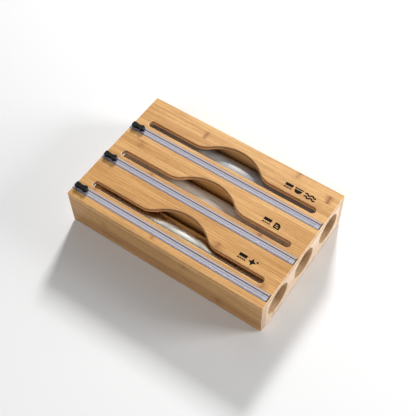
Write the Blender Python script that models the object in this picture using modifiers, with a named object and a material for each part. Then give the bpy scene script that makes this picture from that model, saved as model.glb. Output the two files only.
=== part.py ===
"""Three-roll kitchen wrap dispenser: a bamboo case with a hinged lid, slide cutters and three rolls.

Frame: +X along the rolls, -Y the front, +Z up, origin on the table under the middle of the case.
Driving dimensions are in millimetres; the helpers turn them into metres.
"""

import math

import bmesh
import bpy
from mathutils import Vector

MM = 0.001
GAP = 0.3                    # between pieces that touch
PAST = 1.0                   # how far a cutter runs past a face

# Case
LENGTH, DEPTH, HEIGHT = 335.0, 219.0, 70.0
FOOT_HEIGHT, FOOT_RADIUS = 1.5, 5.0
FOOT_X, FOOT_Y = 145.0, 90.0
LID_THICK = 8.0
LONG_WALL, END_WALL, DIVIDER, FLOOR = 10.0, 14.0, 5.0, 5.0
EDGE_ROUND = 1.0
LID_BOTTOM = HEIGHT - LID_THICK
WALL_TOP = LID_BOTTOM - GAP
FLOOR_TOP = FOOT_HEIGHT + FLOOR
INSIDE_X = LENGTH / 2 - END_WALL
INSIDE_Y = DEPTH / 2 - LONG_WALL
BAY = (2 * INSIDE_Y - 2 * DIVIDER) / 3
PITCH = BAY + DIVIDER
ROWS = {"front": -PITCH, "middle": 0.0, "rear": PITCH}

# Round windows in the end walls
WINDOW_RADIUS, WINDOW_Z, WINDOW_ROUND = 24.5, 35.5, 0.8

# Wave slots in the lid, measured from each row's centre line
SLOT_LEFT, SLOT_RIGHT, SLOT_WIDTH = -147.5, 146.5, 11.2
HUMP_X, HUMP_HALF, HUMP_RISE, HUMP_RADIUS = 0.8, 66.0, 25.3, 66.0
LID_ROUND = 0.8

# Cutter rails, measured from each row's centre line
RAIL_FRONT, RAIL_BACK = -29.9, -17.4
RAIL_BOTTOM, RAIL_TOP = 65.3, 70.3
GROOVE_RIGHT, RAIL_RIGHT = LENGTH / 2 - 1.5, 164.4
SLIT_Y, SLIT_WIDTH = -21.0, 1.2
CHANNEL_FRONT, CHANNEL_BACK, CHANNEL_LOW, CHANNEL_HIGH = -24.0, -18.3, 66.6, 69.2
RIB_YS, RIB_WIDTH, RIB_DEPTH = (-28.3, -25.4), 0.7, 0.4
CAP_PLATE = 0.8
STOP_LENGTH = 7.7

# Slide cutters: the knob seen from above has a square tail, a drawn-in waist and a six-sided nose
SLIDER_X, KNOB_Y, KNOB_TOP = -154.5, -23.4, 76.2
KNOB_HALF, KNOB_ROUND = 10.75, 0.5
TAIL_WIDE, TAIL_END, TAIL_CHAMFER = 4.3, -6.5, 0.8
WAIST_X, WAIST_WIDE = 1.0, 3.1
NOSE_START, NOSE_END, NOSE_WIDE, NOSE_TIP = 5.6, 7.2, 5.1, 2.3
SHOE_HALF, SHOE_PLAY, NECK_LENGTH, NECK_WIDTH = 5.0, 0.4, 2.0, 0.6
BLADE_THICK, BLADE_TIP, BLADE_TAPER = 0.3, 0.7, 2.2
POCKET_TOP = 74.0

# Rolls
CORE_HALF, CORE_INNER, CORE_OUTER, WRAP_HALF = 152.5, 16.0, 17.5, 150.0
WRAP_RADII = {"front": 24.5, "middle": 24.0, "rear": 25.5}
ROLL_CLEARANCE = 0.4

# Butt hinges on the back, with their axis on the seam
HINGE_XS, HINGE_HALF = (-115.0, 115.0), 15.0
AXIS_Y, AXIS_Z = DEPTH / 2, LID_BOTTOM - GAP / 2
KNUCKLE_RADIUS, KNUCKLE_HOLE, PIN_RADIUS, KNUCKLE_HALF = 2.0, 1.1, 1.0, 5.0
LEAF_THICK, LEAF_DROP, LEAF_RISE, LEAF_START = 1.0, 12.5, 7.4, 2.4
KNUCKLE_BITE = 0.6           # how far a leaf's neck runs into its knuckle
SCREW_X, SCREW_LENGTH, SCREW_HEAD, SCREW_SHANK = 9.5, 6.5, 1.65, 0.8
SCREW_POINT, SCREW_SINK, SCREW_RECESS = 1.0, 0.9, 0.1
DRIVE_DEPTH, DRIVE_HALF = 0.35, 0.2
CASE_SCREW_Z, LID_SCREW_Z = AXIS_Z - 7.5, AXIS_Z + 4.9

# Closing magnets
MAGNET_X, MAGNET_Y, MAGNET_RADIUS, MAGNET_THICK = 140.0, -104.5, 3.0, 2.5

# Materials: colour, roughness, metallic
BAMBOO = ("bamboo", (0.70, 0.42, 0.18, 1), 0.5, 0.0)
CLEAR_RAIL = ("clear_plastic", (0.55, 0.54, 0.66, 1), 0.2, 0.0)
BLACK = ("black_plastic", (0.012, 0.012, 0.014, 1), 0.35, 0.0)
STEEL = ("steel", (0.62, 0.62, 0.64, 1), 0.3, 1.0)
BRASS = ("brass", (0.75, 0.55, 0.25, 1), 0.35, 1.0)
RUBBER = ("rubber", (0.05, 0.05, 0.05, 1), 0.8, 0.0)
CARD = ("cardboard", (0.45, 0.32, 0.20, 1), 0.9, 0.0)
FILM = ("cling_film", (0.62, 0.70, 0.76, 1), 0.12, 0.0)
WAX_PAPER = ("wax_paper", (0.66, 0.63, 0.57, 1), 0.6, 0.0)
FOIL = ("foil", (0.80, 0.80, 0.82, 1), 0.25, 1.0)
WRAPS = {"front": FOIL, "middle": WAX_PAPER, "rear": FILM}

ALONG_X = (math.pi / 2, 0, math.pi / 2)      # turns a local X, Y, Z into Y, Z, X
ALONG_Y = (-math.pi / 2, 0, 0)               # turns a local Z into Y


def clear_scene():
    for obj in list(bpy.data.objects):
        bpy.data.objects.remove(obj)


def new_collection(name):
    collection = bpy.data.collections.new(name)
    bpy.context.scene.collection.children.link(collection)
    return collection


clear_scene()
PARTS = new_collection("wrap_dispenser")
CUTTERS = new_collection("cutters")


def material(spec):
    name, colour, roughness, metallic = spec
    if name in bpy.data.materials:
        return bpy.data.materials[name]
    mat = bpy.data.materials.new(name)
    mat.use_nodes = True
    shader = mat.node_tree.nodes["Principled BSDF"]
    shader.inputs["Base Color"].default_value = colour
    shader.inputs["Roughness"].default_value = roughness
    shader.inputs["Metallic"].default_value = metallic
    mat.diffuse_color = colour
    return mat


def empty(name, location, parent=None):
    obj = bpy.data.objects.new(name, None)
    obj.empty_display_size = 0.01
    PARTS.objects.link(obj)
    place(obj, parent, location)
    return obj


def place(obj, parent, location):
    """Puts obj at a world location in mm, as a child of an unrotated empty."""
    world = Vector(location) * MM
    if parent is not None:
        obj.parent = parent
        world -= world_location(parent)
    obj.location = world


def world_location(obj):
    total = obj.location.copy()
    while obj.parent is not None:
        obj = obj.parent
        total += obj.location
    return total


def add_mesh(name, bm, location, spec=None, parent=None, rotation=(0, 0, 0)):
    """Makes an object of a bmesh in metres: a part where spec is given, or else a cutter."""
    bmesh.ops.recalc_face_normals(bm, faces=bm.faces)
    mesh = bpy.data.meshes.new(name)
    bm.to_mesh(mesh)
    bm.free()
    obj = bpy.data.objects.new(name, mesh)
    if spec is None:
        CUTTERS.objects.link(obj)
        obj.hide_render = True
        obj.display_type = "WIRE"
    else:
        PARTS.objects.link(obj)
        mesh.materials.append(material(spec))
    obj.rotation_euler = rotation
    place(obj, parent, location)
    return obj


def box(name, low, high, spec=None, parent=None):
    low, high = Vector(low), Vector(high)
    bm = bmesh.new()
    bmesh.ops.create_cube(bm, size=1.0)
    bmesh.ops.scale(bm, vec=(high - low) * MM, verts=bm.verts)
    return add_mesh(name, bm, (low + high) / 2, spec, parent)


def turned(name, profile, segments, location, spec=None, parent=None, rotation=(0, 0, 0)):
    """Turns a closed profile of (radius, height) points in mm about the local Z axis."""
    bm = bmesh.new()
    verts = [bm.verts.new((r * MM, 0, z * MM)) for r, z in profile]
    edges = [bm.edges.new(pair) for pair in zip(verts, verts[1:] + verts[:1])]
    bmesh.ops.spin(bm, geom=verts + edges, axis=(0, 0, 1), cent=(0, 0, 0), dvec=(0, 0, 0),
                   angle=2 * math.pi, steps=segments, use_merge=True)
    bmesh.ops.remove_doubles(bm, verts=bm.verts, dist=1e-7)
    bmesh.ops.dissolve_degenerate(bm, edges=bm.edges, dist=1e-7)
    obj = add_mesh(name, bm, location, spec, parent, rotation)
    smooth(obj)
    return obj


def rod(name, radius, low, high, segments, location, spec=None, parent=None, rotation=(0, 0, 0)):
    """A plain cylinder along the local Z axis, from low to high."""
    bm = bmesh.new()
    bmesh.ops.create_cone(bm, cap_ends=True, segments=segments, radius1=radius * MM,
                          radius2=radius * MM, depth=(high - low) * MM)
    bmesh.ops.translate(bm, vec=(0, 0, (low + high) / 2 * MM), verts=bm.verts)
    obj = add_mesh(name, bm, location, spec, parent, rotation)
    smooth(obj)
    return obj


def plate(name, outlines, thick, location, spec=None, parent=None, rotation=(0, 0, 0), rounding=0.0):
    """A flat plate of closed outlines in mm, holes included, with its rims rounded.

    The outlines are the plate's true edges less the rounding, which grows them outwards.
    """
    curve = bpy.data.curves.new(name, "CURVE")
    curve.dimensions = "2D"
    curve.fill_mode = "BOTH"
    curve.extrude = (thick / 2 - rounding) * MM
    curve.bevel_depth = rounding * MM
    curve.bevel_resolution = 1
    for outline in outlines:
        spline = curve.splines.new("POLY")
        spline.points.add(len(outline) - 1)
        spline.use_cyclic_u = True
        for point, (x, y) in zip(spline.points, outline):
            point.co = (x * MM, y * MM, 0, 1)
    source = bpy.data.objects.new(name, curve)
    PARTS.objects.link(source)
    depsgraph = bpy.context.evaluated_depsgraph_get()
    mesh = bpy.data.meshes.new_from_object(source.evaluated_get(depsgraph))
    bpy.data.objects.remove(source)
    bm = bmesh.new()
    bm.from_mesh(mesh)
    bpy.data.meshes.remove(mesh)
    bmesh.ops.remove_doubles(bm, verts=bm.verts, dist=1e-6)
    return add_mesh(name, bm, location, spec, parent, rotation)


def smooth(obj, degrees=35):
    obj.data.shade_smooth()
    obj.data.set_sharp_from_angle(angle=math.radians(degrees))


def cut(obj, *cutters):
    for cutter in cutters:
        boolean = obj.modifiers.new(cutter.name, "BOOLEAN")
        boolean.operation = "DIFFERENCE"
        boolean.solver = "EXACT"
        boolean.object = cutter


def join(obj, *others):
    """Unites obj with other solids, which become guides."""
    for other in others:
        union = obj.modifiers.new(other.name, "BOOLEAN")
        union.operation = "UNION"
        union.solver = "EXACT"
        union.object = other


def round_edges(obj, is_outer):
    """Rounds the edges of a box whose two ends both satisfy is_outer, given world mm points."""
    bm = bmesh.new()
    bm.from_mesh(obj.data)
    weight = bm.edges.layers.float.new("bevel_weight_edge")
    centre = world_location(obj) / MM
    for edge in bm.edges:
        ends = [v.co / MM + centre for v in edge.verts]
        edge[weight] = 1.0 if is_outer(*ends) else 0.0
    bm.to_mesh(obj.data)
    bm.free()
    bevel = obj.modifiers.new("rounding", "BEVEL")
    bevel.limit_method = "WEIGHT"
    bevel.width = EDGE_ROUND * MM
    bevel.segments = 2


def on_case_outside(first, second):
    """True for an edge that lies on two outer faces of the case, the top not counted."""
    shared = 0
    for axis, limit in ((0, LENGTH / 2), (1, DEPTH / 2)):
        if all(abs(abs(end[axis]) - limit) < 0.01 for end in (first, second)):
            shared += 1
    if all(abs(end[2] - FOOT_HEIGHT) < 0.01 for end in (first, second)):
        shared += 1
    return shared >= 2


def arc(centre, radius, start, end, steps):
    """Points on an arc, in degrees, both ends included."""
    angles = [math.radians(start + (end - start) * i / steps) for i in range(steps + 1)]
    return [(centre[0] + radius * math.cos(a), centre[1] + radius * math.sin(a)) for a in angles]


def case_walls(case):
    x, y = LENGTH / 2, DEPTH / 2
    front = box("front_panel", (-x, -y, FOOT_HEIGHT), (x, -INSIDE_Y, WALL_TOP), BAMBOO, case)
    back = box("back_panel", (-x, INSIDE_Y, FOOT_HEIGHT), (x, y, WALL_TOP), BAMBOO, case)
    reach = INSIDE_Y - GAP
    left = box("left_panel", (-x, -reach, FOOT_HEIGHT), (-INSIDE_X, reach, WALL_TOP), BAMBOO, case)
    right = box("right_panel", (INSIDE_X, -reach, FOOT_HEIGHT), (x, reach, WALL_TOP), BAMBOO, case)
    for panel in (front, back, left, right):
        round_edges(panel, on_case_outside)
    for panel, side in ((left, -1), (right, 1)):
        cut(panel, *[window_cutter(side, row) for row in ROWS])
    box("bottom_panel", (-INSIDE_X + GAP, -reach, FOOT_HEIGHT), (INSIDE_X - GAP, reach, FLOOR_TOP),
        BAMBOO, case)
    for name, side in (("divider_front", -1), ("divider_rear", 1)):
        middle = side * PITCH / 2
        box(name, (-INSIDE_X + GAP, middle - DIVIDER / 2, FLOOR_TOP + GAP),
            (INSIDE_X - GAP, middle + DIVIDER / 2, WALL_TOP), BAMBOO, case)
    return front, back


def window_cutter(side, row):
    """A round hole through an end wall, with its outer rim rounded."""
    outer, inner = END_WALL / 2, -END_WALL / 2 - PAST
    rim = arc((WINDOW_RADIUS + WINDOW_ROUND, outer - WINDOW_ROUND), WINDOW_ROUND, 180, 90, 3)
    wide = WINDOW_RADIUS + WINDOW_ROUND
    profile = [(0, inner), (WINDOW_RADIUS, inner)] + rim + [(wide, outer + PAST), (0, outer + PAST)]
    middle = side * (LENGTH / 2 - END_WALL / 2)
    turn = (0, side * math.pi / 2, 0)
    name = "window_%s_%s" % ("right" if side > 0 else "left", row)
    return turned(name, profile, 40, (middle, ROWS[row], WINDOW_Z), rotation=turn)


def wave_slot(row):
    """A long slot with round ends, and a hump on its rear side made of three tangent arcs."""
    grow = LID_ROUND
    y = ROWS[row]
    radius = SLOT_WIDTH / 2 + grow
    lean = 2 * math.atan(HUMP_RISE / HUMP_HALF)
    foot_radius = HUMP_HALF / math.sin(lean) - HUMP_RADIUS - grow
    top_radius = HUMP_RADIUS + grow
    lean = math.degrees(lean)
    middle = y - SLOT_WIDTH / 2
    right = (SLOT_RIGHT - SLOT_WIDTH / 2, middle)
    left = (SLOT_LEFT + SLOT_WIDTH / 2, middle)
    foot_y = y + grow + foot_radius
    points = arc(right, radius, -90, 90, 8)
    points += arc((HUMP_X + HUMP_HALF, foot_y), foot_radius, -90, -90 - lean, 7)
    points += arc((HUMP_X, y + HUMP_RISE - HUMP_RADIUS), top_radius, 90 - lean, 90 + lean, 22)[1:]
    points += arc((HUMP_X - HUMP_HALF, foot_y), foot_radius, -90 + lean, -90, 7)[1:]
    points += arc(left, radius, 90, 270, 8)
    return points


def lid_board(lid_axis):
    """The lid's board: a rounded plate, trimmed flat below, with wave slots and rail grooves."""
    half_x, half_y = LENGTH / 2 - LID_ROUND, DEPTH / 2 - LID_ROUND
    corner = EDGE_ROUND - LID_ROUND
    outline = []
    for sx, sy, start in ((1, 1, 0), (-1, 1, 90), (-1, -1, 180), (1, -1, 270)):
        centre = (sx * (half_x - corner), sy * (half_y - corner))
        outline += arc(centre, corner, start, start + 90, 2)
    extra = 2 * LID_ROUND
    board = plate("lid_panel", [outline] + [wave_slot(row) for row in ROWS], LID_THICK + extra,
                  (0, 0, HEIGHT - (LID_THICK + extra) / 2), BAMBOO, None, rounding=LID_ROUND)
    move_origin(board, lid_axis)
    below = LID_BOTTOM - extra - PAST
    cut(board, box("underside", (-LENGTH, -DEPTH, below), (LENGTH, DEPTH, LID_BOTTOM)))
    for row, y in ROWS.items():
        low = (-LENGTH, y + RAIL_FRONT - GAP, RAIL_BOTTOM - GAP)
        high = (GROOVE_RIGHT, y + RAIL_BACK + GAP, HEIGHT + PAST)
        cut(board, box("groove_" + row, low, high))
    smooth(board)
    return board


def move_origin(obj, parent):
    """Puts the origin of an unparented object on its parent, leaving the shape where it is."""
    shift = obj.location - world_location(parent)
    for vertex in obj.data.vertices:
        vertex.co += shift
    obj.parent = parent
    obj.location = (0, 0, 0)


def rail_profile():
    """Cross-section as (y, z) from the row's centre line: ribs in front, a slit over a channel."""
    near, far = SLIT_Y - SLIT_WIDTH / 2, SLIT_Y + SLIT_WIDTH / 2
    points = [(RAIL_FRONT, RAIL_BOTTOM), (RAIL_BACK, RAIL_BOTTOM), (RAIL_BACK, RAIL_TOP),
              (far, RAIL_TOP), (far, CHANNEL_HIGH), (CHANNEL_BACK, CHANNEL_HIGH),
              (CHANNEL_BACK, CHANNEL_LOW), (CHANNEL_FRONT, CHANNEL_LOW),
              (CHANNEL_FRONT, CHANNEL_HIGH), (near, CHANNEL_HIGH), (near, RAIL_TOP)]
    for y in sorted(RIB_YS, reverse=True):
        points += [(y + RIB_WIDTH / 2, RAIL_TOP), (y + RIB_WIDTH / 4, RAIL_TOP - RIB_DEPTH),
                   (y - RIB_WIDTH / 4, RAIL_TOP - RIB_DEPTH), (y - RIB_WIDTH / 2, RAIL_TOP)]
    points += [(RAIL_FRONT, RAIL_TOP)]
    return points


def rail(row, lid_axis):
    """The clear track, with an end cap that closes its open end and a stop at the blind end."""
    y = ROWS[row]
    edge = -LENGTH / 2
    left, right = edge + CAP_PLATE + GAP, RAIL_RIGHT - STOP_LENGTH - GAP
    plate("rail_" + row, [rail_profile()], right - left, ((left + right) / 2, y, 0), CLEAR_RAIL,
          lid_axis, ALONG_X)
    cap = box("rail_cap_" + row, (edge, y + RAIL_FRONT, RAIL_BOTTOM),
              (edge + CAP_PLATE, y + RAIL_BACK, RAIL_TOP), CLEAR_RAIL, lid_axis)
    plug = box("cap_plug_" + row, (edge + CAP_PLATE / 2, y + CHANNEL_FRONT + GAP, CHANNEL_LOW + GAP),
               (SLIDER_X - SHOE_HALF - GAP, y + CHANNEL_BACK - GAP, CHANNEL_HIGH - GAP))
    join(cap, plug)
    stop = box("rail_stop_" + row, (RAIL_RIGHT - STOP_LENGTH, y + RAIL_FRONT, RAIL_BOTTOM),
               (RAIL_RIGHT, y + RAIL_BACK, RAIL_TOP), CLEAR_RAIL, lid_axis)
    slit = y + SLIT_Y
    cut(stop, box("stop_slit_" + row, (right, slit - SLIT_WIDTH / 2, CHANNEL_HIGH),
                  (RAIL_RIGHT + PAST, slit + SLIT_WIDTH / 2, RAIL_TOP + PAST)))


def knob_outline():
    """One knob seen from above, less its rounding, from the tail's rear corner round to the front."""
    half, tail = KNOB_HALF - KNOB_ROUND, TAIL_WIDE - KNOB_ROUND
    waist, nose = WAIST_WIDE - KNOB_ROUND, NOSE_WIDE - KNOB_ROUND
    rear = [(-half, tail - TAIL_CHAMFER), (-half + TAIL_CHAMFER, tail)]
    rear += hollow(TAIL_END, tail, waist) + hollow(NOSE_START, nose, waist)[::-1]
    rear += [(NOSE_END, nose), (half, NOSE_TIP - KNOB_ROUND)]
    return rear + [(x, -y) for x, y in reversed(rear)]


def hollow(start, wide, waist, steps=4):
    """Points on a parabola that draws in from wide at start towards the waist."""
    points = []
    for i in range(steps):
        share = 1 - i / steps
        points.append((WAIST_X + (start - WAIST_X) * share, waist + (wide - waist) * share ** 2))
    return points


def slider(row, lid_axis):
    """A finger knob above the rail, a shoe in its channel, and a blade standing in the slit."""
    y = ROWS[row]
    slit = y + SLIT_Y
    base = RAIL_TOP + GAP
    carriage = empty("slide_" + row, (SLIDER_X, slit, RAIL_TOP), lid_axis)
    knob = plate("slider_knob_" + row, [knob_outline()], KNOB_TOP - base,
                 (SLIDER_X, y + KNOB_Y, (KNOB_TOP + base) / 2), BLACK, carriage,
                 rounding=KNOB_ROUND)
    pocket_x, pocket_y = SHOE_HALF + GAP, NECK_WIDTH / 2 + GAP
    cut(knob, box("pocket_" + row, (SLIDER_X - pocket_x, slit - pocket_y, base - PAST),
                  (SLIDER_X + pocket_x, slit + pocket_y, POCKET_TOP)))
    smooth(knob)
    shoe_low, shoe_high = CHANNEL_LOW + SHOE_PLAY, CHANNEL_HIGH - SHOE_PLAY
    shoe = box("slider_shoe_" + row, (SLIDER_X - SHOE_HALF, y + CHANNEL_FRONT + SHOE_PLAY, shoe_low),
               (SLIDER_X + SHOE_HALF, y + CHANNEL_BACK - SHOE_PLAY, shoe_high), BLACK, carriage)
    for side in (-1, 1):
        middle = SLIDER_X + side * (SHOE_HALF - NECK_LENGTH / 2)
        neck = box("neck_%s_%s" % ("left" if side < 0 else "right", row),
                   (middle - NECK_LENGTH / 2, slit - NECK_WIDTH / 2, (shoe_low + shoe_high) / 2),
                   (middle + NECK_LENGTH / 2, slit + NECK_WIDTH / 2, POCKET_TOP - GAP))
        join(shoe, neck)
    low, high = shoe_high + GAP, POCKET_TOP - GAP
    half = SHOE_HALF - NECK_LENGTH - GAP
    outline = [(-BLADE_TIP, low), (BLADE_TIP, low), (half, low + BLADE_TAPER), (half, high),
               (-half, high), (-half, low + BLADE_TAPER)]
    plate("blade_" + row, [outline], BLADE_THICK, (SLIDER_X, slit, 0), STEEL, carriage,
          (math.pi / 2, 0, 0))


def roll(row, case):
    radius = WRAP_RADII[row]
    centre = (0, ROWS[row], FLOOR_TOP + ROLL_CLEARANCE + radius)
    axis = empty("roll_axis_" + row, centre, case)
    turn = (0, math.pi / 2, 0)
    tube = [(CORE_INNER, -CORE_HALF), (CORE_OUTER, -CORE_HALF), (CORE_OUTER, CORE_HALF),
            (CORE_INNER, CORE_HALF)]
    turned("core_" + row, tube, 32, centre, CARD, axis, turn)
    inner = CORE_OUTER + GAP
    wound = [(inner, -WRAP_HALF), (radius, -WRAP_HALF), (radius, WRAP_HALF), (inner, WRAP_HALF)]
    turned("wrap_roll_" + row, wound, 48, centre, WRAPS[row], axis, turn)


def knuckle(name, x, low, high, spec=None, parent=None):
    """One hinge knuckle, a tube along X from low to high beside x."""
    ring = [(KNUCKLE_HOLE, low), (KNUCKLE_RADIUS, low), (KNUCKLE_RADIUS, high),
            (KNUCKLE_HOLE, high)]
    return turned(name, ring, 20, (x, AXIS_Y, AXIS_Z), spec, parent, (0, math.pi / 2, 0))


def screw_cutter(name, x, z):
    """A countersunk hole through a leaf and into the wood behind it."""
    bore = SCREW_SHANK + GAP
    sink = SCREW_HEAD + GAP
    profile = [(0, -SCREW_LENGTH - GAP), (bore, -SCREW_LENGTH - GAP), (bore, -SCREW_SINK),
               (sink, -SCREW_RECESS), (sink, PAST), (0, PAST)]
    return turned(name, profile, 12, (x, AXIS_Y, z), rotation=ALONG_Y)


def screw(name, x, z, parent):
    """A countersunk wood screw along Y, its head a little below the leaf's face, with one slot."""
    profile = [(0, -SCREW_LENGTH), (SCREW_SHANK / 2, -SCREW_LENGTH),
               (SCREW_SHANK, SCREW_POINT - SCREW_LENGTH), (SCREW_SHANK, -SCREW_SINK),
               (SCREW_HEAD, -SCREW_RECESS), (0, -SCREW_RECESS)]
    piece = turned(name, profile, 12, (x, AXIS_Y, z), BRASS, parent, ALONG_Y)
    floor = AXIS_Y - SCREW_RECESS - DRIVE_DEPTH
    cut(piece, box(name + "_drive", (x - SCREW_HEAD - PAST, floor, z - DRIVE_HALF),
                   (x + SCREW_HEAD + PAST, AXIS_Y + PAST, z + DRIVE_HALF)))


def hinge(side, x, case, lid_axis, back, board):
    """A brass butt hinge let in flush: a leaf on the case, a leaf on the lid, and their pin."""
    face, inner = AXIS_Y, AXIS_Y - LEAF_THICK
    outer_start = KNUCKLE_HALF + GAP

    case_leaf = box("hinge_leaf_case_" + side, (x - HINGE_HALF, inner, AXIS_Z - LEAF_DROP),
                    (x + HINGE_HALF, face, AXIS_Z - LEAF_START), BRASS, case)
    for end in (-1, 1):
        low, high = sorted((end * outer_start, end * HINGE_HALF))
        neck = box("case_neck_%s_%d" % (side, end), (x + low, inner, AXIS_Z - LEAF_START - PAST),
                   (x + high, face, AXIS_Z - KNUCKLE_RADIUS + KNUCKLE_BITE))
        join(case_leaf, neck, knuckle("case_knuckle_%s_%d" % (side, end), x, low, high))

    lid_leaf = box("hinge_leaf_lid_" + side, (x - HINGE_HALF, inner, AXIS_Z + LEAF_START),
                   (x + HINGE_HALF, face, AXIS_Z + LEAF_RISE), BRASS, lid_axis)
    neck = box("lid_neck_" + side, (x - KNUCKLE_HALF, inner, AXIS_Z + KNUCKLE_RADIUS - KNUCKLE_BITE),
               (x + KNUCKLE_HALF, face, AXIS_Z + LEAF_START + PAST))
    join(lid_leaf, neck, knuckle("lid_knuckle_" + side, x, -KNUCKLE_HALF, KNUCKLE_HALF))

    rod("hinge_pin_" + side, PIN_RADIUS, -HINGE_HALF, HINGE_HALF, 16, (x, AXIS_Y, AXIS_Z), STEEL,
        case, (0, math.pi / 2, 0))

    reach = HINGE_HALF + GAP
    notch = rod("knuckle_notch_" + side, KNUCKLE_RADIUS + GAP, -reach, reach, 24,
                (x, AXIS_Y, AXIS_Z), rotation=(0, math.pi / 2, 0))
    case_bed = box("case_bed_" + side, (x - reach, inner - GAP, AXIS_Z - LEAF_DROP - GAP),
                   (x + reach, face + PAST, AXIS_Z + PAST))
    lid_bed = box("lid_bed_" + side, (x - reach, inner - GAP, AXIS_Z - PAST),
                  (x + reach, face + PAST, AXIS_Z + LEAF_RISE + GAP))
    cut(back, notch, case_bed)
    cut(board, notch, lid_bed)

    for end, place_name in ((-1, "left"), (1, "right")):
        for leaf, wood, parent, z, part in ((case_leaf, back, case, CASE_SCREW_Z, "case"),
                                            (lid_leaf, board, lid_axis, LID_SCREW_Z, "lid")):
            label = "%s_%s_%s" % (part, side, place_name)
            hole = screw_cutter("screw_hole_" + label, x + end * SCREW_X, z)
            cut(leaf, hole)
            cut(wood, hole)
            screw("hinge_screw_" + label, x + end * SCREW_X, z, parent)


def magnets(case, lid_axis, front, board):
    """Disc magnets, one pair in the front wall's top and one in the lid above it."""
    for side, x in (("left", -MAGNET_X), ("right", MAGNET_X)):
        for wood, parent, name, low, high in (
                (front, case, "magnet_case_", WALL_TOP - MAGNET_THICK, WALL_TOP),
                (board, lid_axis, "magnet_lid_", LID_BOTTOM, LID_BOTTOM + MAGNET_THICK)):
            where = (x, MAGNET_Y, 0)
            rod(name + side, MAGNET_RADIUS, low, high, 24, where, STEEL, parent)
            upper = high + (GAP if parent is lid_axis else PAST)
            lower = low - (PAST if parent is lid_axis else GAP)
            cut(wood, rod(name + side + "_seat", MAGNET_RADIUS + GAP, lower, upper, 24, where))


def feet(case):
    for x_name, x in (("left", -FOOT_X), ("right", FOOT_X)):
        for y_name, y in (("front", -FOOT_Y), ("rear", FOOT_Y)):
            rod("foot_%s_%s" % (y_name, x_name), FOOT_RADIUS, 0, FOOT_HEIGHT - GAP, 24, (x, y, 0),
                RUBBER, case)


def build():
    case = empty("case", (0, 0, 0))
    lid_axis = empty("lid_axis", (0, AXIS_Y, AXIS_Z), case)
    front, back = case_walls(case)
    board = lid_board(lid_axis)
    for row in ROWS:
        rail(row, lid_axis)
        slider(row, lid_axis)
        roll(row, case)
    for side, x in zip(("left", "right"), HINGE_XS):
        hinge(side, x, case, lid_axis, back, board)
    magnets(case, lid_axis, front, board)
    feet(case)


build()
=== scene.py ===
"""Looks for a three-roll kitchen wrap dispenser: bamboo case, clear rails, black cutters, wound rolls.

Sizes are in millimetres and the helpers turn them into metres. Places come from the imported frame.
"""

import math

import bmesh
import bpy
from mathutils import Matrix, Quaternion, Vector, noise


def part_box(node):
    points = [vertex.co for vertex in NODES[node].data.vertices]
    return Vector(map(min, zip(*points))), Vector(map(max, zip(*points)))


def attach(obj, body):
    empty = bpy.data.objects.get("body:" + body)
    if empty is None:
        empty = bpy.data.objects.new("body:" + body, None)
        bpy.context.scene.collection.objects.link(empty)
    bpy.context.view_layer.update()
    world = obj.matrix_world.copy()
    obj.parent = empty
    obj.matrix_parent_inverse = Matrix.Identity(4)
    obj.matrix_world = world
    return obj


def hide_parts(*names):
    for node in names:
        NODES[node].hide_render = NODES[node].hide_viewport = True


MM = 0.001
X, Y, Z = 0, 1, 2

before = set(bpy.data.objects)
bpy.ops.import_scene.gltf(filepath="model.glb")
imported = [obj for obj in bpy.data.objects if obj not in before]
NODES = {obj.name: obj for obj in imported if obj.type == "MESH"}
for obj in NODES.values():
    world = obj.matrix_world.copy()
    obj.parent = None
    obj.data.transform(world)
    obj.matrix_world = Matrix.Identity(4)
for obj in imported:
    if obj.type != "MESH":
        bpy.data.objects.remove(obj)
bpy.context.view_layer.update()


def box_mm(node):
    low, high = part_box(node)
    return low / MM, high / MM


def linear(red, green, blue):
    """A display colour, 0 to 255, as the linear colour that a shader takes."""
    def one(value):
        value /= 255
        return value / 12.92 if value <= 0.04045 else ((value + 0.055) / 1.055) ** 2.4
    return (one(red), one(green), one(blue), 1)


# ---------------------------------------------------------------- materials


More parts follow.
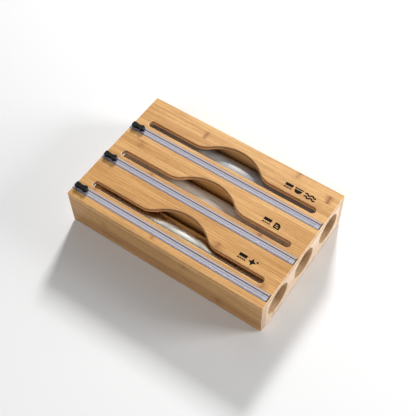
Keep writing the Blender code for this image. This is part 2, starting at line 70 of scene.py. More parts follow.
class Tree:
    """A material's node tree. Each method adds nodes and returns the output socket."""

    def __init__(self, name, roughness=0.5, metallic=0.0):
        self.material = bpy.data.materials.new(name)
        self.material.use_nodes = True
        self.tree = self.material.node_tree
        self.shader = self.tree.nodes["Principled BSDF"]
        self.set("Roughness", roughness)
        self.set("Metallic", metallic)
        coordinates = self.tree.nodes.new("ShaderNodeTexCoord")
        self.place = self.scaled(coordinates.outputs["Object"], (1 / MM,) * 3)
        self.normal = coordinates.outputs["Normal"]

    def put(self, value, socket):
        if isinstance(value, bpy.types.NodeSocket):
            self.tree.links.new(value, socket)
        else:
            socket.default_value = value

    def set(self, name, value):
        """A value or a socket for one of the Principled shader's inputs."""
        self.put(value, self.shader.inputs[name])

    def scaled(self, vector, scale):
        node = self.tree.nodes.new("ShaderNodeVectorMath")
        node.operation = "MULTIPLY"
        self.put(vector, node.inputs[0])
        self.put(scale, node.inputs[1])
        return node.outputs[0]

    def axes(self, vector):
        node = self.tree.nodes.new("ShaderNodeSeparateXYZ")
        self.put(vector, node.inputs[0])
        return node.outputs[0], node.outputs[1], node.outputs[2]

    def vector(self, *parts):
        node = self.tree.nodes.new("ShaderNodeCombineXYZ")
        for part, socket in zip(parts, node.inputs):
            self.put(part, socket)
        return node.outputs[0]

    def math(self, operation, *values):
        node = self.tree.nodes.new("ShaderNodeMath")
        node.operation = operation
        for value, socket in zip(values, node.inputs):
            self.put(value, socket)
        return node.outputs[0]

    def magnitude(self, value):
        return self.math("ABSOLUTE", value)

    def add(self, a, b):
        return self.math("ADD", a, b)

    def times(self, a, b):
        return self.math("MULTIPLY", a, b)

    def step(self, value, low, high, start=0.0, end=1.0):
        """A smooth change from start to end as value goes from low to high."""
        node = self.tree.nodes.new("ShaderNodeMapRange")
        node.interpolation_type = "SMOOTHSTEP"
        for part, socket in zip((value, low, high, start, end), node.inputs):
            self.put(part, socket)
        return node.outputs[0]

    def noise(self, vector, scale=1.0, detail=2.0, rough=0.5, distortion=0.0):
        node = self.tree.nodes.new("ShaderNodeTexNoise")
        self.put(vector, node.inputs["Vector"])
        self.put(scale, node.inputs["Scale"])
        self.put(detail, node.inputs["Detail"])
        self.put(rough, node.inputs["Roughness"])
        self.put(distortion, node.inputs["Distortion"])
        return node.outputs["Fac"]

    def stretched(self, parts, scales, **texture):
        """Noise with its own scale along each of the three parts of a vector."""
        return self.noise(self.vector(*map(self.times, parts, scales)), **texture)

    def cells(self, vector, scale=1.0):
        """The distance to the nearest of many scattered points."""
        node = self.tree.nodes.new("ShaderNodeTexVoronoi")
        self.put(vector, node.inputs["Vector"])
        self.put(scale, node.inputs["Scale"])
        return node.outputs["Distance"]

    def random(self, value):
        """A number from 0 to 1 that stays the same for the same value."""
        node = self.tree.nodes.new("ShaderNodeTexWhiteNoise")
        node.noise_dimensions = "1D"
        self.put(value, node.inputs["W"])
        return node.outputs["Value"]

    def mix(self, factor, a, b):
        node = self.tree.nodes.new("ShaderNodeMix")
        node.data_type = "RGBA"
        node.clamp_factor = True
        self.put(factor, node.inputs[0])
        self.put(a, node.inputs[6])
        self.put(b, node.inputs[7])
        return node.outputs[2]

    def bump(self, height, depth_mm, strength=1.0):
        node = self.tree.nodes.new("ShaderNodeBump")
        self.put(strength, node.inputs["Strength"])
        self.put(depth_mm * MM, node.inputs["Distance"])
        self.put(height, node.inputs["Height"])
        self.set("Normal", node.outputs[0])


# Bamboo strips are glued side by side. Each has its own shade, fine fibres and, here and there, a node.
STRIP = 17.0
STRIP_SHIFT = 4.5
STRIP_OFFSET = 900.0  # how far the pattern may move along the grain from one strip to the next
BAMBOO_LIGHT, BAMBOO_DEEP = linear(236, 185, 118), linear(200, 144, 80)
BAMBOO_MARK = linear(138, 80, 34)
BAMBOO_NODE = linear(152, 90, 38)
END_LIGHT, END_DOT = linear(208, 182, 156), linear(150, 116, 84)
# Paler copies of the bamboo, painted light: for the walls of the end boards' windows, then for the end
# boards.
HOLE_LIT_LIGHT, HOLE_LIT_DEEP = linear(251, 218, 174), linear(236, 192, 142)
ENDS_LIT_LIGHT, ENDS_LIT_DEEP = linear(241, 216, 190), linear(226, 196, 165)
# A darker copy of the bamboo for the front board: painted shade.
FRONT_SHADE_LIGHT, FRONT_SHADE_DEEP = linear(212, 165, 107), linear(178, 128, 75)
# A paler copy of the bamboo for the dividers and the back board's inside: painted light inside the bays.
INSIDE_LIT_LIGHT, INSIDE_LIT_DEEP = linear(246, 196, 126), linear(220, 166, 96)
PLY_LIGHT, PLY_GLUE = linear(246, 205, 166), linear(74, 44, 22)
PLY_SEAM, PLY_HALF = 66.0, 0.4
SHADE_RANGE = (0.80, 1.16)
NODE_HALO, NODE_CORE = 0.72, 0.50

# How far from the middle the lid's cut-outs, the end boards' windows and the back board's inside reach
LID_CUTS, WINDOW_CUTS, BACK_INSIDE = 107.0, 104.0, 104.0


def cut_walls(t, depth, place, reach, blur):
    """1 on the walls of a board's cut-outs nearer the middle than reach, and 0 on its two faces."""
    walls = t.step(t.magnitude(t.axes(t.normal)[depth]), 0.30, 0.60, 1.0, 0.0)
    return t.times(walls, t.step(t.magnitude(place), reach, reach + blur, 1.0, 0.0))


def cane_nodes(t, colour, u, v, w, lines, marks):
    """Brown marks where the cane had a node. Each is darkest along its middle."""
    wobble = t.times(t.add(t.noise(t.vector(u, v, w), 0.16, 3.0), -0.5), 7.0)
    streaks = t.step(lines, 0.30, 0.72, 1.0, 0.55)
    for place_u, place_v, half_u, half_v, strength in marks:
        along = t.math("DIVIDE", t.magnitude(t.add(t.add(u, -place_u), wobble)), half_u)
        beside = t.math("DIVIDE", t.magnitude(t.add(v, -place_v)), half_v)
        halo = t.times(t.step(along, 0.0, 1.0, 1.0, 0.0), t.step(beside, 0.65, 1.05, 1.0, 0.0))
        core = t.times(t.step(along, 0.0, 0.30, 1.0, 0.0), t.step(beside, 0.75, 0.95, 1.0, 0.0))
        amount = t.times(t.add(t.times(halo, NODE_HALO), t.times(core, NODE_CORE)), strength)
        colour = t.mix(t.times(amount, streaks), colour, BAMBOO_NODE)
    return colour


def ply_walls(t, colour, walls, w):
    """The two layers that a cut through the lid shows, and the glue line between them."""
    upper = t.times(walls, t.step(w, PLY_SEAM - PLY_HALF, PLY_SEAM + PLY_HALF))
    lower = t.times(walls, t.step(w, PLY_SEAM - PLY_HALF, PLY_SEAM + PLY_HALF, 1.0, 0.0))
    glue = t.step(t.magnitude(t.add(w, -PLY_SEAM)), 0.0, PLY_HALF, 1.0, 0.0)
    colour = t.mix(t.times(lower, 0.45), colour, PLY_LIGHT)
    colour = t.mix(t.times(upper, 0.45), colour, BAMBOO_MARK)
    return t.mix(t.times(t.times(walls, glue), 0.85), colour, PLY_GLUE)


def bamboo(name, grain, across, light=BAMBOO_LIGHT, deep=BAMBOO_DEEP, marks=(), shift=STRIP_SHIFT,
           plies=False, lit_inside=False, lit_windows=False):
    """Laminated bamboo. grain and across are the axes of the fibres and of the strips' widths.

    Each mark is a node of the cane: its place along and across in mm, its half sizes and its strength.
    """
    t = Tree(name, roughness=0.48)
    t.set("Specular IOR Level", 0.3)
    t.set("Coat Weight", 0.06)
    t.set("Coat Roughness", 0.35)
    places = t.axes(t.place)
    depth = X + Y + Z - grain - across
    u, v, w = places[grain], places[across], places[depth]

    strips = t.math("DIVIDE", t.add(v, shift), STRIP)
    strip_shade = t.random(t.math("FLOOR", strips))
    seam_line = t.step(t.magnitude(t.add(t.math("FRACT", strips), -0.5)), 0.488, 0.497)
    moved = (t.add(u, t.times(strip_shade, STRIP_OFFSET)), v, w)

    broad = t.stretched(moved, (0.012, 0.09, 0.09), detail=3.0)
    lines = t.stretched(moved, (0.010, 0.75, 0.75), detail=4.0, rough=0.62)
    fibres = t.stretched(moved, (0.045, 3.6, 3.6), detail=3.0, rough=0.6)
    dashes = t.stretched(moved, (0.09, 2.3, 2.3), detail=1.0)

    shade = t.add(t.times(broad, 0.45), t.times(lines, 0.95))
    shade = t.add(shade, t.times(fibres, 0.40))
    shade = t.add(shade, t.times(strip_shade, 0.16))
    shade = t.step(shade, *SHADE_RANGE)
    colour = t.mix(shade, deep, light)
    colour = t.mix(t.step(dashes, 0.56, 0.70, 0.0, 0.38), colour, BAMBOO_MARK)
    colour = t.mix(t.times(seam_line, 0.22), colour, BAMBOO_MARK)
    colour = cane_nodes(t, colour, u, v, w, lines, marks)
    if plies:
        colour = ply_walls(t, colour, cut_walls(t, depth, v, LID_CUTS, 1.0), w)
    # The back board's inside face is painted paler: painted light in the rear bay.
    if lit_inside:
        colour = t.mix(t.step(w, BACK_INSIDE, BACK_INSIDE + 1.0, 0.6, 0.0), colour, INSIDE_LIT_LIGHT)

    dots = t.cells(t.vector(t.times(u, 0.05), v, w), 1.15)
    end_colour = t.mix(t.step(dots, 0.18, 0.42), END_DOT, END_LIGHT)
    end_colour = t.mix(t.times(seam_line, 0.4), end_colour, END_DOT)
    colour = t.mix(t.step(t.magnitude(t.axes(t.normal)[grain]), 0.70, 0.85), colour, end_colour)
    # The windows' walls are painted paler than the board: painted light inside the windows.
    if lit_windows:
        walls = t.times(cut_walls(t, depth, u, WINDOW_CUTS, 2.0), 0.90)
        colour = t.mix(walls, colour, t.mix(shade, HOLE_LIT_DEEP, HOLE_LIT_LIGHT))
    t.set("Base Color", colour)
    t.set("Roughness", t.step(fibres, 0.3, 0.7, 0.42, 0.54))
    t.bump(t.add(t.times(lines, 0.6), t.add(fibres, t.times(seam_line, -0.6))), 0.05, 0.5)
    return t.material


LID_MARKS = (
    (-61, 90, 7, 8.5, 0.95), (94, 104, 9, 7, 0.70), (152, 90, 9, 8.5, 1.0), (-86, -13, 9, 8.5, 0.75),
    (102, -13, 9, 8.5, 0.95), (63, -63, 15, 8.5, 0.75), (-133, 22, 16, 8.5, 0.45),
    (-20, -98, 7, 8.5, 0.75), (-138, -81, 11, 8.5, 0.65), (148, -81, 12, 8.5, 0.70),
)
FRONT_MARKS = ((-105, 38, 11, 8.5, 0.45), (38, 55, 12, 6, 0.55), (96, 17, 14, 8.5, 0.55))
BACK_MARKS = (
    (112, 38, 11, 8.5, 0.50), (-46, 20, 13, 8.5, 0.45), (-128, 55, 10, 7, 0.45), (24, 55, 9, 6, 0.35),
)
END_MARKS = ((-78, 8, 9, 6, 0.35), (64, 66, 8, 5, 0.35), (98, 22, 9, 7, 0.30))


def sanded_and_highlight(name):
    """The broken edges of the boards, a little paler than their faces: partly sanded wood, partly a
    painted highlight along the edges.
    """
    t = Tree(name, roughness=0.45)
    shade = t.noise(t.place, 0.25, 3.0)
    t.set("Base Color", t.mix(t.step(shade, 0.35, 0.65), linear(232, 190, 138), linear(250, 216, 168)))
    return t.material


# Places across a rail, in mm from the middle of its bay
BAY_PITCH = 68.0
RAIL_FRONT, RAIL_HIGHLIGHT, RAIL_SLIT = -29.4, -26.6, -21.0


def clear_plastic(name):
    """Drawn clear plastic: pale lilac in front with a painted highlight along it, wood-tinted behind the
    slit, and painted shade inside the slit.
    """
    t = Tree(name, roughness=0.14)
    t.set("Transmission Weight", 0.22)
    t.set("IOR", 1.49)
    t.set("Coat Weight", 0.6)
    t.set("Coat Roughness", 0.05)
    x, y, z = t.axes(t.place)
    bays = t.math("FRACT", t.math("DIVIDE", t.add(y, BAY_PITCH * 1.5), BAY_PITCH))
    inset = t.times(t.add(bays, -0.5), BAY_PITCH)
    drawn = t.stretched((x, y, z), (0.004, 0.9, 0.9), detail=3.0)
    colour = t.mix(t.step(drawn, 0.35, 0.65), linear(178, 174, 195), linear(205, 202, 214))
    # Painted highlight: a pale line along the rail's front band.
    painted_highlight = t.step(t.magnitude(t.add(inset, -RAIL_HIGHLIGHT)), 0.5, 1.6, 0.75, 0.0)
    colour = t.mix(painted_highlight, colour, linear(226, 223, 227))
    colour = t.mix(t.step(inset, RAIL_FRONT, RAIL_FRONT + 1.0, 0.6, 0.0), colour, linear(160, 158, 198))
    behind = t.step(inset, RAIL_SLIT + 0.1, RAIL_SLIT + 0.7, 0.0, 0.85)
    colour = t.mix(behind, colour, linear(216, 194, 184))
    # Painted shade: the faces in and beside the slit are painted near black.
    slit_shade = t.step(t.magnitude(t.add(inset, -RAIL_SLIT)), 0.55, 0.75, 0.95, 0.0)
    t.set("Base Color", t.mix(slit_shade, colour, linear(40, 29, 30)))
    t.set("Roughness", t.step(drawn, 0.3, 0.7, 0.10, 0.24))
    t.bump(drawn, 0.03, 0.4)
    return t.material


def black_plastic(name):
    t = Tree(name, roughness=0.3)
    t.set("Specular IOR Level", 0.28)
    grain = t.noise(t.place, 6.0, 3.0)
    wear = t.noise(t.place, 0.7, 4.0)
    colour = t.mix(t.step(grain, 0.4, 0.6), linear(5, 5, 6), linear(11, 11, 12))
    t.set("Base Color", t.mix(t.step(wear, 0.6, 0.75, 0.0, 0.35), colour, linear(34, 36, 42)))
    t.set("Roughness", t.step(wear, 0.35, 0.7, 0.20, 0.36))
    t.bump(grain, 0.03, 0.5)
    return t.material


def brushed(name, light, dark, along, roughness=0.3):
    """A brushed or drawn metal whose fine scratches run along one axis."""
    t = Tree(name, roughness, metallic=1.0)
    scales = [0.25 if axis == along else 9.0 for axis in (X, Y, Z)]
    scratches = t.stretched(t.axes(t.place), scales, detail=3.0, rough=0.7)
    stain = t.noise(t.place, 0.25, 4.0)
    colour = t.mix(t.step(scratches, 0.3, 0.7), dark, light)
    t.set("Base Color", t.mix(t.step(stain, 0.55, 0.75, 0.0, 0.25), colour, dark))
    t.set("Roughness", t.step(scratches, 0.3, 0.7, roughness - 0.08, roughness + 0.10))
    t.bump(scratches, 0.02, 0.4)
    return t.material


def rubber(name):
    t = Tree(name, roughness=0.8)
    grain = t.noise(t.place, 4.0, 4.0)
    t.set("Base Color", t.mix(grain, linear(30, 30, 31), linear(58, 57, 56)))
    t.bump(grain, 0.05, 0.6)
    return t.material


def shaded_roll_ends(t, colour):
    """The end faces of a roll and its tube, painted dark beside their outsides: painted shade."""
    ends = t.step(t.magnitude(t.axes(t.normal)[X]), 0.70, 0.90, 0.0, 0.92)
    return t.mix(ends, colour, linear(44, 34, 28))


def cardboard(name):
    """Grey-brown board wound from paper, with short fibres and specks."""
    t = Tree(name, roughness=0.88)
    fibres = t.stretched(t.axes(t.place), (0.8, 2.2, 2.2), detail=4.0, rough=0.65)
    specks = t.cells(t.place, 1.3)
    colour = t.mix(t.step(fibres, 0.3, 0.7), linear(146, 120, 92), linear(190, 164, 132))
    colour = t.mix(t.step(specks, 0.05, 0.20, 0.30, 0.0), colour, linear(98, 74, 52))
    t.set("Base Color", shaded_roll_ends(t, colour))
    t.bump(fibres, 0.08, 0.6)
    return t.material


def wrap_film(name):
    t = Tree(name, roughness=0.55, metallic=0.3)
    t.set("Coat Weight", 0.25)
    t.set("Coat Roughness", 0.40)
    places = t.axes(t.place)
    bands = t.stretched(places, (0.05, 0.015, 0.015), detail=2.0)
    smears = t.stretched(places, (0.02, 0.12, 0.12), detail=3.0, distortion=1.2)
    colour = t.mix(t.step(bands, 0.35, 0.65), linear(168, 172, 180), linear(190, 188, 185))
    colour = t.mix(t.step(smears, 0.45, 0.7, 0.0, 0.6), colour, linear(202, 197, 188))
    t.set("Base Color", shaded_roll_ends(t, colour))
    t.set("Roughness", t.step(smears, 0.3, 0.7, 0.52, 0.64))
    t.bump(t.add(bands, smears), 0.10, 0.3)
    return t.material


def wrap_paper(name):
    t = Tree(name, roughness=0.55)
    t.set("Sheen Weight", 0.15)
    fibres = t.noise(t.place, 1.6, 4.0, 0.6)
    mottle = t.noise(t.place, 0.09, 3.0)
    colour = t.mix(t.step(fibres, 0.35, 0.65), linear(230, 221, 206), linear(244, 237, 224))
    colour = t.mix(t.step(mottle, 0.4, 0.7, 0.0, 0.5), colour, linear(247, 240, 227))
    t.set("Base Color", shaded_roll_ends(t, colour))
    t.set("Roughness", t.step(mottle, 0.3, 0.7, 0.46, 0.62))
    t.bump(fibres, 0.05, 0.5)
    return t.material


def wrap_foil(name):
    t = Tree(name, roughness=0.3, metallic=1.0)
    drawn = t.stretched(t.axes(t.place), (4.0, 0.05, 0.05), detail=3.0)
    dents = t.noise(t.place, 0.06, 2.0, 0.5, 0.4)
    colour = t.mix(drawn, linear(220, 216, 206), linear(240, 236, 224))
    t.set("Base Color", shaded_roll_ends(t, colour))
    t.set("Roughness", t.step(dents, 0.3, 0.7, 0.22, 0.36))
    t.bump(t.add(dents, t.times(drawn, 0.10)), 0.03, 0.35)
    return t.material


def ink(name):
    t = Tree(name, roughness=0.7)
    t.set("Specular IOR Level", 0.1)
    grain = t.noise(t.place, 2.4, 4.0, 0.6)
    t.set("Base Color", t.mix(t.step(grain, 0.35, 0.7), linear(8, 7, 7), linear(16, 14, 13)))
    t.bump(grain, 0.02, 0.5)
    return t.material


def pale_floor(name):
    t = Tree(name, roughness=0.7)
    tone = t.noise(t.place, 0.002, 3.0)
    t.set("Base Color", t.mix(tone, linear(246, 246, 246), linear(251, 251, 251)))
    return t.material


# ---------------------------------------------------------------- shapes


SHARP_ANGLE = math.radians(35)


def add_object(name, bm, material, body, replaced=()):
    """Makes a piece of a bmesh in mm and lets it ride on a body."""
    bmesh.ops.scale(bm, vec=(MM, MM, MM), verts=bm.verts)
    bmesh.ops.recalc_face_normals(bm, faces=bm.faces)
    mesh = bpy.data.meshes.new(name)
    bm.to_mesh(mesh)
    bm.free()
    mesh.shade_smooth()
    mesh.set_sharp_from_angle(angle=SHARP_ANGLE)
    mesh.materials.append(material)
    obj = bpy.data.objects.new(name, mesh)
    bpy.context.scene.collection.objects.link(obj)
    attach(obj, body)
    if replaced:
        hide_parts(*replaced)
    return obj


def ring_grid(centre, stations, angles):
    """A closed ring around an X axis through centre. Each station gives x and r for an angle."""
    bm = bmesh.new()
    loops = []
    for station in stations:
        loop = []
        for angle in angles:
            x, r = station(angle)
            place = (x + centre.x, centre.y + r * math.cos(angle), centre.z + r * math.sin(angle))
            loop.append(bm.verts.new(place))
        loops.append(loop)
    for loop, following in zip(loops, loops[1:] + loops[:1]):
        for i in range(len(angles)):
            j = (i + 1) % len(angles)
            bm.faces.new((loop[i], loop[j], following[j], following[i]))
    return bm


def even(low, high, count):
    return [low + (high - low) * i / (count - 1) for i in range(count)]


ROLL_POINTS, FACE_STATIONS, END_RINGS = 144, 151, 24
EDGE_STEP = math.radians(0.4)
RIM_WIDTH, RIM_DROP = 1.2, 0.25
TURN_STAGGER, TURN_RAGGED = 0.12, 0.35
BORE_GAP, BORE_INSET = 0.3, 0.6


def wound_roll(name, row, material, sheet, relief, edge_turn):
    """A wound roll: a loose outer edge along it, relief on its face and the turns' edges at its ends.

    sheet is the height of the loose edge's step in mm, and edge_turn is where it lies round the roll.
    """
    node = f"wrap_roll_{row}"
    low, high = box_mm(node)
    centre = (low + high) / 2
    outer, half = (high.z - low.z) / 2, (high.x - low.x) / 2
    core_low, core_high = box_mm(f"core_{row}")
    inner = (core_high.z - core_low.z) / 2 + BORE_GAP
    angles = [0.0] + even(EDGE_STEP, 2 * math.pi * (ROLL_POINTS - 1) / ROLL_POINTS, ROLL_POINTS - 1)
    angles = [angle + edge_turn for angle in angles]

    def turned(angle):
        """The share of a turn gone since the loose edge."""
        return (angle - edge_turn) / (2 * math.pi)

    def face(x):
        def at(angle):
            ramp = 1 - turned(angle) if angle > edge_turn else 0.0
            rim = max(0.0, 1 - (half - abs(x)) / RIM_WIDTH) ** 2
            return x, outer - sheet * (1 - ramp) - relief(x, angle) - RIM_DROP * rim
        return at

    def end(side, radius, index):
        """One ring of an end face, counted from its outer edge."""
        def at(angle):
            ragged = noise.noise(Vector((index * 1.7, math.cos(angle), math.sin(angle) + side)))
            inset = TURN_STAGGER * (index % 2) + TURN_RAGGED * (0.5 + ragged) * min(1.0, index / 3)
            return side * (half - inset), radius
        return at

    def bore(side):
        return lambda angle: (side * (half - BORE_INSET), inner)

    rings = even(inner + 0.1, outer - 0.9, END_RINGS)
    counts = range(END_RINGS - 1, -1, -1)
    stations = [bore(-1)]
    stations += [end(-1, radius, count) for radius, count in zip(rings, counts)]
    stations += [face(x) for x in even(-half, half, FACE_STATIONS)]
    stations += [end(1, radius, count) for radius, count in zip(rings[::-1], counts[::-1])]
    stations += [bore(1)]
    bm = ring_grid(centre, stations, angles)
    return add_object(name, bm, material, f"roll_{row}", (node,))


def film_relief(x, angle):
    """Soft tension bands round the roll, and long slanting pulls."""
    bands = noise.noise(Vector((x * 0.13, 0.4 * math.cos(angle), 0.4 * math.sin(angle))))
    pulls = noise.noise(Vector((x * 0.03 + 2, 2.2 * math.cos(angle), 2.2 * math.sin(angle) + x * 0.02)))
    return 0.10 * (1 + bands) + 0.12 * (1 - abs(pulls)) ** 3


def paper_relief(x, angle):
    return 0.08 * (1 + noise.noise(Vector((x * 0.04, 1.3 * math.cos(angle), 1.3 * math.sin(angle) + 9))))


def foil_relief(x, angle):
    """Sharp little creases between flat spots."""
    place = Vector((x * 0.10, 2.4 * math.cos(angle), 2.4 * math.sin(angle) - 4))
    crease = abs(noise.noise(place)) + 0.5 * abs(noise.noise(place * 2.3))
    return 0.03 * (1 - min(1.0, crease * 2.2)) ** 2


CORE_INNER, CORE_LIP = 16.0, 0.45
CORE_POINTS, CORE_STATIONS = 96, 152
SEAM_PITCH, SEAM_HALF, SEAM_DEPTH = 62.0, 1.4, 0.22


def paper_core(name, row, material):
    """A cardboard tube with rounded lips and the seam of its helical winding inside and out."""
    node = f"core_{row}"
    low, high = box_mm(node)
    centre = (low + high) / 2
    outer, half, inner, lip = (high.z - low.z) / 2, (high.x - low.x) / 2, CORE_INNER, CORE_LIP
    angles = [2 * math.pi * i / CORE_POINTS for i in range(CORE_POINTS)]

    def seam(x, angle):
        across = (x - SEAM_PITCH * angle / (2 * math.pi)) % SEAM_PITCH
        return SEAM_DEPTH * max(0.0, 1 - min(across, SEAM_PITCH - across) / SEAM_HALF)

    def skin(x, radius, outward):
        return lambda angle: (x, radius - outward * seam(x, angle))

    places = even(-half + lip, half - lip, CORE_STATIONS)
    stations = [skin(-half + lip * 0.3, inner + lip * 0.3, 0), skin(-half, inner + lip, 0)]
    stations += [skin(-half, outer - lip, 0), skin(-half + lip * 0.3, outer - lip * 0.3, 0)]
    stations += [skin(x, outer, 1) for x in places]
    stations += [skin(half - lip * 0.3, outer - lip * 0.3, 0), skin(half, outer - lip, 0)]
    stations += [skin(half, inner + lip, 0), skin(half - lip * 0.3, inner + lip * 0.3, 0)]
    stations += [skin(x, inner, -1) for x in reversed(places)]
    bm = ring_grid(centre, stations, angles)
    return add_object(name, bm, material, f"roll_{row}", (node,))


# Printed marks: bold little pictures of a roll and of its use, about 10 mm tall, with sizes in mm


def arc(x, y, radius, start, end, count=40):
    """Points along a circle's arc, from one angle in degrees to another."""
    turns = [math.radians(turn) for turn in even(start, end, count)]
    return [(x + radius * math.cos(turn), y + radius * math.sin(turn)) for turn in turns]


def slab(x0, y0, x1, y1):
    return [(x0, y0), (x1, y0), (x1, y1), (x0, y1)]


def band(points, width):
    """A closed strip of even width along a line of points."""
    left, right = [], []
    for i, (x, y) in enumerate(points):
        ahead = points[min(i + 1, len(points) - 1)]
        behind = points[max(i - 1, 0)]
        dx, dy = ahead[0] - behind[0], ahead[1] - behind[1]
        length = math.hypot(dx, dy)
        nx, ny = -dy / length * width / 2, dx / length * width / 2
        left.append((x + nx, y + ny))
        right.append((x - nx, y - ny))
    return left + right[::-1]


def roll_picture(x):
    """A roll seen from its side, over the teeth that cut it."""
    length, teeth = 12.6, 8
    points = [(x + length * i / teeth, 0.9 if i % 2 == 0 else 3.1) for i in range(teeth + 1)]
    return [slab(x, 5, x + length, 10), band(points, 1.7)]


def bowl_picture(x):
    """A bowl with film stretched over it."""
    bowl = arc(x + 6.5, 6.4, 6.2, 180, 360)
    return [bowl, slab(x - 0.4, 7.6, x + 13.4, 9.8)]


def wave_picture(x, length):
    """Two lines of two waves each, for thin clear film."""
    steps, height = 40, 1.3
    pictures = []
    for y in (2.2, 7.2):
        turns = [i / steps for i in range(steps + 1)]
        points = [(x + length * turn, y + height * math.sin(turn * 4 * math.pi)) for turn in turns]
        pictures.append(band(points, 2.5))
    return pictures


def sheet_picture(x):
    """A cut sheet with one folded corner and two lines on it."""
    outline = [(x, 0), (x + 10, 0), (x + 10, 6.4), (x + 6.4, 10), (x, 10)]
    return [outline, slab(x + 2.2, 2.4, x + 7.8, 3.7), slab(x + 2.2, 5.4, x + 5.6, 6.7)]


def glint_picture(x):
    """A four-pointed glint, for shiny foil."""
    points = []
    for i in range(8):
        turn = math.radians(45 * i)
        radius = 6.2 if i % 2 == 0 else 2.8
        points.append((x + 6 + radius * math.cos(turn), 5 + radius * math.sin(turn)))
    small = [(x + 13 + (px - x - 6) * 0.42, 8.0 + (py - 5) * 0.42) for px, py in points]
    return [points, small]


INK_THICKNESS, INK_LIFT = 0.05, 0.02


def printed_mark(name, outlines, x, y, material):
    """Ink on the lid's top: outlines in mm, with holes where one lies inside another."""
    curve = bpy.data.curves.new(name, "CURVE")
    curve.dimensions = "2D"
    curve.fill_mode = "BOTH"
    curve.extrude = INK_THICKNESS / 2 * MM
    for outline in outlines:
        spline = curve.splines.new("POLY")
        spline.points.add(len(outline) - 1)
        for point, (px, py) in zip(spline.points, outline):
            point.co = (px * MM, py * MM, 0, 1)
        spline.use_cyclic_u = True
    flat = bpy.data.objects.new(name + "_outline", curve)
    bpy.context.scene.collection.objects.link(flat)
    shape = flat.evaluated_get(bpy.context.evaluated_depsgraph_get())
    mesh = bpy.data.meshes.new_from_object(shape)
    bpy.data.objects.remove(flat)
    bm = bmesh.new()
    bm.from_mesh(mesh)
    bmesh.ops.remove_doubles(bm, verts=bm.verts, dist=1e-6)
    top = box_mm("lid_panel")[1].z
    bmesh.ops.scale(bm, vec=(1 / MM,) * 3, verts=bm.verts)
    bmesh.ops.translate(bm, vec=(x, y, top + INK_LIFT + INK_THICKNESS / 2), verts=bm.verts)
    return add_object(name, bm, material, "lid")


# ---------------------------------------------------------------- the object


WELD_REACH = 0.02
BOARD_SOFT, KNOB_SOFT = 0.45, 0.35


def finish_wood():
    lid = bamboo("bamboo_lid", X, Y, marks=LID_MARKS, plies=True)
    # The front board is a darker copy of the bamboo: painted shade.
    front = bamboo("bamboo_front_shaded", X, Z, FRONT_SHADE_LIGHT, FRONT_SHADE_DEEP, FRONT_MARKS)
    # The back board's inside face is painted paler: painted light.
    back = bamboo("bamboo_back", X, Z, marks=BACK_MARKS, shift=11.0, lit_inside=True)
    # The end boards and their windows' walls are paler copies of the bamboo: painted light.
    ends = bamboo("bamboo_ends_lit", Y, Z, ENDS_LIT_LIGHT, ENDS_LIT_DEEP, END_MARKS, lit_windows=True)
    # The dividers are a paler copy of the bamboo: painted light inside the bays.
    inside = bamboo("bamboo_inside_lit", X, Z, INSIDE_LIT_LIGHT, INSIDE_LIT_DEEP, shift=7.0)
    under = bamboo("bamboo_under", X, Y, shift=2.0)
    woods = {
        "lid_panel": lid, "front_panel": front, "back_panel": back,
        "left_panel": ends, "right_panel": ends,
        "divider_front": inside, "divider_rear": inside, "bottom_panel": under,
    }
    edges = sanded_and_highlight("sanded_highlit_edge")
    for node, material in woods.items():
        paint(node, material)
        NODES[node].data.materials.append(edges)
        soften(node, BOARD_SOFT, 1)


def soften(node, width, slot=-1):
    """Breaks a node's sharp edges by width mm. The new faces take the material in the given slot."""
    weld = NODES[node].modifiers.new("weld", "WELD")
    weld.merge_threshold = WELD_REACH * MM
    bevel = NODES[node].modifiers.new("edges", "BEVEL")
    bevel.width = width * MM
    bevel.segments = 1
    bevel.limit_method = "ANGLE"
    bevel.angle_limit = math.radians(40)
    bevel.use_clamp_overlap = False
    bevel.material = slot


def paint(node, material):
    slots = NODES[node].data.materials
    if slots:
        slots[0] = material
    else:
        slots.append(material)


def finish_small_parts():
    clear, black = clear_plastic("clear_rail"), black_plastic("black_plastic")
    brass = brushed("hinge_brass", linear(214, 178, 104), linear(168, 128, 66), X)
    screw = brushed("screw_brass", linear(222, 190, 122), linear(170, 132, 72), Z)
    steel = brushed("steel", linear(206, 207, 210), linear(150, 152, 156), X, 0.25)
    nickel = brushed("magnet_nickel", linear(196, 196, 198), linear(142, 142, 146), Z, 0.22)
    finishes = {
        "rail_": clear, "slider_": black, "hinge_screw": screw, "hinge_leaf": brass,
        "hinge_pin": steel, "blade": steel, "magnet": nickel,
    }
    for node in NODES:
        for start, material in finishes.items():
            if node.startswith(start):
                paint(node, material)
        if node.startswith("slider_"):
            soften(node, KNOB_SOFT)


def rubber_foot(name, node, material):
    """A stick-on foot: a low dome with a rounded rim."""
    rim = 0.7
    low, high = box_mm(node)
    radius, height = (high.x - low.x) / 2, high.z - low.z
    profile = [(0.0, high.z), (radius * 0.96, high.z), (radius, high.z - height * 0.15)]
    for i in range(9):
        turn = math.radians(10 * i)
        profile.append((radius - rim + rim * math.cos(turn), low.z + rim - rim * math.sin(turn)))
    profile += [(radius * 0.72, low.z), (radius * 0.66, low.z + 0.12), (0.0, low.z + 0.2)]
    bm = bmesh.new()
    points = [bm.verts.new((r, 0, z)) for r, z in profile]
    edges = [bm.edges.new(pair) for pair in zip(points, points[1:])]
    bmesh.ops.spin(
        bm, geom=points + edges, cent=(0, 0, 0), axis=(0, 0, 1),
        angle=2 * math.pi, steps=48, use_merge=True,
    )
    bmesh.ops.remove_doubles(bm, verts=bm.verts, dist=0.001)
    middle = (low + high) / 2
    bmesh.ops.translate(bm, vec=(middle.x, middle.y, 0), verts=bm.verts)
    return add_object(name, bm, material, "case", (node,))


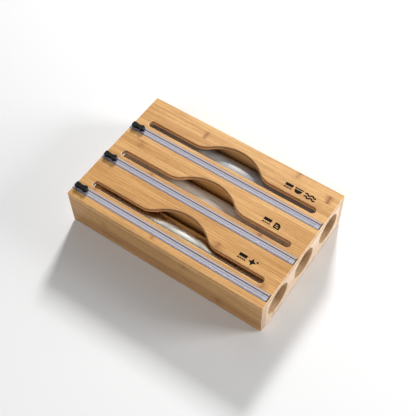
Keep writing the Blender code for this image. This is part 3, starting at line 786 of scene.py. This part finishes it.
def make_rolls():
    """Each roll's material and slot, the step of its loose edge in mm, its relief and the edge's place."""
    card = cardboard("cardboard")
    styles = {
        "front": (wrap_foil("foil"), "foil", 0.10, foil_relief, math.radians(118)),
        "middle": (wrap_paper("wax_paper"), "wax_paper", 0.22, paper_relief, math.radians(40)),
        "rear": (wrap_film("cling_film"), "cling_film", 0.14, film_relief, math.radians(160)),
    }
    for row, (material, slot, sheet, relief, edge_turn) in styles.items():
        wound_roll(f"wound_{slot}", row, material, sheet, relief, edge_turn)
        paper_core(f"paper_core_{row}", row, card)


MARK_PLACES = {"film": (85.3, 74.3), "paper": (91.5, 6.2), "foil": (95.0, -62.2)}


def make_marks():
    black = ink("printed_ink")
    pictures = {
        "film": roll_picture(0) + bowl_picture(16) + wave_picture(33, 18),
        "paper": roll_picture(0) + sheet_picture(18),
        "foil": roll_picture(0) + glint_picture(16),
    }
    for wrap, (x, y) in MARK_PLACES.items():
        printed_mark(f"mark_{wrap}", pictures[wrap], x, y, black)


def make_feet():
    material = rubber("rubber_feet")
    for end in ("front", "rear"):
        for side in ("left", "right"):
            rubber_foot(f"rubber_foot_{end}_{side}", f"foot_{end}_{side}", material)


# ---------------------------------------------------------------- camera, light and floor

# Angles in degrees, the azimuth from -Y towards +X. Distance, target and lens in mm.
CAMERA_AZIMUTH, CAMERA_ELEVATION, CAMERA_ROLL = 36.071, 56.022, -1.728
CAMERA_DISTANCE, CAMERA_TARGET, CAMERA_LENS = 1226.7, (2.7, 1.54, 35.0), 72.01
SKY_LEVEL = 0.08


def make_camera():
    azimuth, elevation = math.radians(CAMERA_AZIMUTH), math.radians(CAMERA_ELEVATION)
    back = Vector((
        math.sin(azimuth) * math.cos(elevation),
        -math.cos(azimuth) * math.cos(elevation),
        math.sin(elevation),
    ))
    data = bpy.data.cameras.new("camera")
    data.lens = CAMERA_LENS
    data.sensor_width = 36
    data.clip_start, data.clip_end = 0.05, 30
    camera = bpy.data.objects.new("camera", data)
    camera.location = (Vector(CAMERA_TARGET) + back * CAMERA_DISTANCE) * MM
    camera.rotation_mode = "QUATERNION"
    roll = Quaternion((0, 0, 1), math.radians(CAMERA_ROLL))
    camera.rotation_quaternion = (-back).to_track_quat("-Z", "Y") @ roll
    bpy.context.scene.collection.objects.link(camera)
    bpy.context.scene.camera = camera


def softbox(name, azimuth, elevation, distance, size, level):
    """A square area light that looks at the object.

    Azimuth is in degrees from +X towards +Y, distance and size in metres. A level of 1 gives a white
    surface that faces the light a brightness of 1.
    """
    data = bpy.data.lights.new(name, "AREA")
    data.shape = "SQUARE"
    data.size = size
    data.energy = level * (math.pi * distance) ** 2
    light = bpy.data.objects.new(name, data)
    azimuth, elevation = math.radians(azimuth), math.radians(elevation)
    direction = Vector((
        math.cos(azimuth) * math.cos(elevation),
        math.sin(azimuth) * math.cos(elevation),
        math.sin(elevation),
    ))
    light.location = direction * distance
    light.rotation_mode = "QUATERNION"
    light.rotation_quaternion = (-direction).to_track_quat("-Z", "Y")
    bpy.context.scene.collection.objects.link(light)


def make_studio():
    bm = bmesh.new()
    bmesh.ops.create_grid(bm, x_segments=8, y_segments=8, size=4.0)
    mesh = bpy.data.meshes.new("floor")
    bm.to_mesh(mesh)
    bm.free()
    mesh.materials.append(pale_floor("pale_floor"))
    floor = bpy.data.objects.new("floor", mesh)
    bpy.context.scene.collection.objects.link(floor)

    world = bpy.data.worlds.new("studio")
    world.use_nodes = True
    sky = world.node_tree.nodes["Background"]
    sky.inputs["Color"].default_value = (1, 1, 1, 1)
    sky.inputs["Strength"].default_value = SKY_LEVEL
    bpy.context.scene.world = world
    bpy.context.scene.view_settings.view_transform = "Standard"

    softbox("key", 110, 29.5, 4.0, 0.6, 1.0)
    softbox("right_fill", 30, 21, 2.4, 0.9, 0.68)
    softbox("overhead", 126, 56, 2.4, 1.2, 0.075)
    softbox("front_fill", -84, 42, 2.4, 1.2, 0.27)


finish_wood()
finish_small_parts()
make_rolls()
make_marks()
make_feet()
make_camera()
make_studio()
